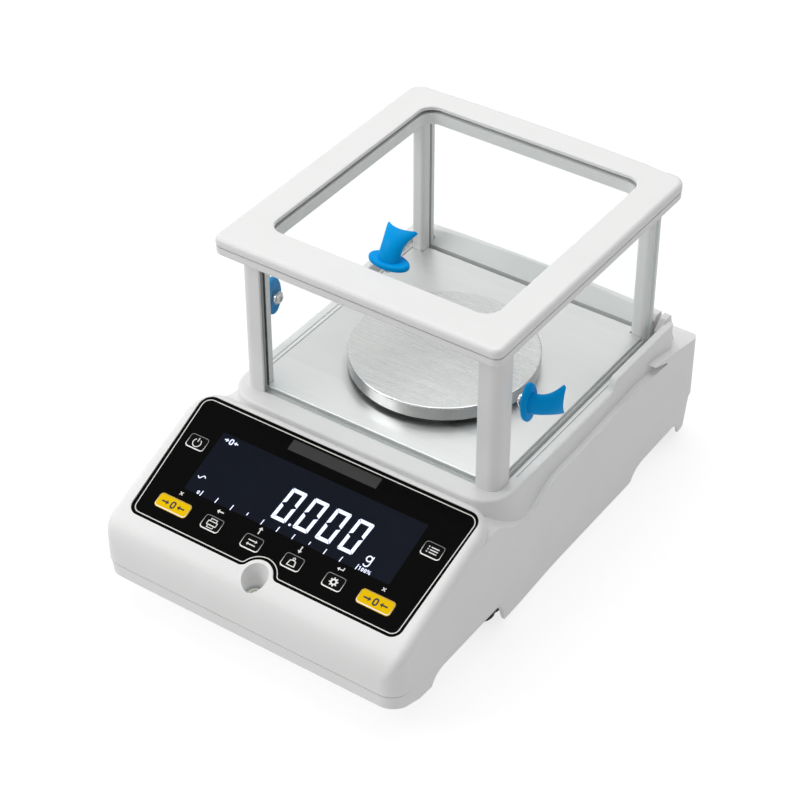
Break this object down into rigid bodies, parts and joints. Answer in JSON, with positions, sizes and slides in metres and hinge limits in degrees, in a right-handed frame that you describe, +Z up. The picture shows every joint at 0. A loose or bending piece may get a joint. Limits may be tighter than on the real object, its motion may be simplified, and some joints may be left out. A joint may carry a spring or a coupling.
{
  "type": "analytical balance",
  "caption": "Bench-top precision balance with a glass draft shield, sliding doors, a round pan and a sloping keypad and display.",
  "frame": {"origin": "on the table under the middle of the balance, between its levelling feet", "axes": "+Z up, +Y from the display towards the back, +X to the operator's right"},
  "size_m": [0.2192, 0.35, 0.2229],
  "materials": {
    "case_white": "satin moulded ABS, fine texture",
    "overlay_black": "printed polyester film, satin black",
    "display_window": "clear window over a dark navy display",
    "lcd_bezel": "tinned steel frame",
    "circuit_board": "green solder mask",
    "cable_grey": "grey ribbon cable",
    "level_metal": "turned",
    "level_fluid": "acrylic vial with fluid",
    "stainless": "brushed across the balance",
    "cast_aluminium": "as cast",
    "cell_aluminium": "machined",
    "steel_bright": "zinc plated",
    "connector_black": "moulded",
    "connector_steel": "stamped shell",
    "clear_glass": "clear float glass, ground edges",
    "seal_black": "soft strip",
    "knob_blue": "glossy blue moulding",
    "key_black": "satin black with a light outline",
    "key_yellow": "satin yellow with a light outline",
    "wheel_dark": "moulded, knurled rim",
    "pad_rubber": "moulded"
  },
  "bodies": {
    "balance": {"case_screws": "steel_bright", "chamber_plate": "stainless", "dc_jack": "connector_black", "display_board": "circuit_board", "display_cable": "cable_grey", "front_glass": "clear_glass", "front_glass_seals": "seal_black", "hook_cover": "wheel_dark", "keypad_overlay": "overlay_black", "lcd_module": "lcd_bezel", "lcd_window": "display_window", "level_ring": "level_metal", "level_vial": "level_fluid", "load_cell": "cell_aluminium", "load_cell_base": "cast_aluminium", "lower_case": "case_white", "main_board": "circuit_board", "pan_bracket": "cast_aluminium", "pan_spindle": "steel_bright", "post_front_left": "case_white", "post_front_right": "case_white", "post_rear_left": "case_white", "post_rear_right": "case_white", "rear_glass": "clear_glass", "serial_port": "connector_steel", "shield_rail_frame": "case_white", "shield_top_cover": "case_white", "upper_case": "case_white", "usb_port": "connector_steel"},
    "left_door": {"door_left": "clear_glass", "knob_left": "knob_blue", "knob_screw_left": "steel_bright"},
    "right_door": {"door_right": "clear_glass", "knob_right": "knob_blue", "knob_screw_right": "steel_bright"},
    "top_door": {"door_top": "clear_glass", "knob_top": "knob_blue", "knob_screw_top": "steel_bright"},
    "pan": {"weighing_pan": "stainless", "pan_support": "cast_aluminium"},
    "key_power_cap": {"key_power": "key_black"},
    "key_mode_cap": {"key_mode": "key_black"},
    "key_zero_left_cap": {"key_zero_left": "key_yellow"},
    "key_print_cap": {"key_print": "key_black"},
    "key_unit_cap": {"key_unit": "key_black"},
    "key_calibrate_cap": {"key_calibrate": "key_black"},
    "key_setup_cap": {"key_setup": "key_black"},
    "key_zero_right_cap": {"key_zero_right": "key_yellow"},
    "pad_front_left": {"foot_pad_front_left": "pad_rubber"},
    "screw_front_left": {"foot_wheel_front_left": "wheel_dark", "foot_stud_front_left": "steel_bright"},
    "pad_front_right": {"foot_pad_front_right": "pad_rubber"},
    "screw_front_right": {"foot_wheel_front_right": "wheel_dark", "foot_stud_front_right": "steel_bright"},
    "pad_rear_left": {"foot_pad_rear_left": "pad_rubber"},
    "screw_rear_left": {"foot_wheel_rear_left": "wheel_dark", "foot_stud_rear_left": "steel_bright"},
    "pad_rear_right": {"foot_pad_rear_right": "pad_rubber"},
    "screw_rear_right": {"foot_wheel_rear_right": "wheel_dark", "foot_stud_rear_right": "steel_bright"}
  },
  "joints": [
    {"name": "left_door_slide", "type": "slide", "parent": "balance", "child": "left_door", "axis": [0, 1, 0], "range_m": [0, 0.138]},
    {"name": "right_door_slide", "type": "slide", "parent": "balance", "child": "right_door", "axis": [0, 1, 0], "range_m": [0, 0.138]},
    {"name": "top_door_slide", "type": "slide", "parent": "balance", "child": "top_door", "axis": [0, 1, 0], "range_m": [0, 0.133]},
    {"name": "pan_lift", "type": "slide", "parent": "balance", "child": "pan", "axis": [0, 0, 1], "range_m": [0, 0.025]},
    {"name": "key_power_press", "type": "slide", "parent": "balance", "child": "key_power_cap", "axis": [0, 0.3697, -0.9291], "range_m": [0, 0.0005], "stiffness_N_per_m": 800, "springref_m": -0.0005},
    {"name": "key_mode_press", "type": "slide", "parent": "balance", "child": "key_mode_cap", "axis": [0, 0.3697, -0.9291], "range_m": [0, 0.0005], "stiffness_N_per_m": 800, "springref_m": -0.0005},
    {"name": "key_zero_left_press", "type": "slide", "parent": "balance", "child": "key_zero_left_cap", "axis": [0, 0.3697, -0.9291], "range_m": [0, 0.0005], "stiffness_N_per_m": 800, "springref_m": -0.0005},
    {"name": "key_print_press", "type": "slide", "parent": "balance", "child": "key_print_cap", "axis": [0, 0.3697, -0.9291], "range_m": [0, 0.0005], "stiffness_N_per_m": 800, "springref_m": -0.0005},
    {"name": "key_unit_press", "type": "slide", "parent": "balance", "child": "key_unit_cap", "axis": [0, 0.3697, -0.9291], "range_m": [0, 0.0005], "stiffness_N_per_m": 800, "springref_m": -0.0005},
    {"name": "key_calibrate_press", "type": "slide", "parent": "balance", "child": "key_calibrate_cap", "axis": [0, 0.3697, -0.9291], "range_m": [0, 0.0005], "stiffness_N_per_m": 800, "springref_m": -0.0005},
    {"name": "key_setup_press", "type": "slide", "parent": "balance", "child": "key_setup_cap", "axis": [0, 0.3697, -0.9291], "range_m": [0, 0.0005], "stiffness_N_per_m": 800, "springref_m": -0.0005},
    {"name": "key_zero_right_press", "type": "slide", "parent": "balance", "child": "key_zero_right_cap", "axis": [0, 0.3697, -0.9291], "range_m": [0, 0.0005], "stiffness_N_per_m": 800, "springref_m": -0.0005},
    {"name": "foot_front_left_height", "type": "slide", "parent": "balance", "child": "pad_front_left", "axis": [0, 0, 1], "range_m": [-0.0025, 0.0025]},
    {"name": "foot_front_left_turn", "type": "hinge", "parent": "pad_front_left", "child": "screw_front_left", "pos_m": [-0.086, -0.057, 0], "axis": [0, 0, 1], "range_deg": [-722, 722]},
    {"name": "foot_front_right_height", "type": "slide", "parent": "balance", "child": "pad_front_right", "axis": [0, 0, 1], "range_m": [-0.0025, 0.0025]},
    {"name": "foot_front_right_turn", "type": "hinge", "parent": "pad_front_right", "child": "screw_front_right", "pos_m": [0.086, -0.057, 0], "axis": [0, 0, 1], "range_deg": [-722, 722]},
    {"name": "foot_rear_left_height", "type": "slide", "parent": "balance", "child": "pad_rear_left", "axis": [0, 0, 1], "range_m": [-0.0025, 0.0025]},
    {"name": "foot_rear_left_turn", "type": "hinge", "parent": "pad_rear_left", "child": "screw_rear_left", "pos_m": [-0.086, 0.151, 0], "axis": [0, 0, 1], "range_deg": [-722, 722]},
    {"name": "foot_rear_right_height", "type": "slide", "parent": "balance", "child": "pad_rear_right", "axis": [0, 0, 1], "range_m": [-0.0025, 0.0025]},
    {"name": "foot_rear_right_turn", "type": "hinge", "parent": "pad_rear_right", "child": "screw_rear_right", "pos_m": [0.086, 0.151, 0], "axis": [0, 0, 1], "range_deg": [-722, 722]}
  ],
  "couplings": [
    {"joint": "foot_front_left_turn", "follows": "foot_front_left_height", "rad_per_m": 5026.5},
    {"joint": "foot_front_right_turn", "follows": "foot_front_right_height", "rad_per_m": 5026.5},
    {"joint": "foot_rear_left_turn", "follows": "foot_rear_left_height", "rad_per_m": 5026.5},
    {"joint": "foot_rear_right_turn", "follows": "foot_rear_right_height", "rad_per_m": 5026.5}
  ]
}
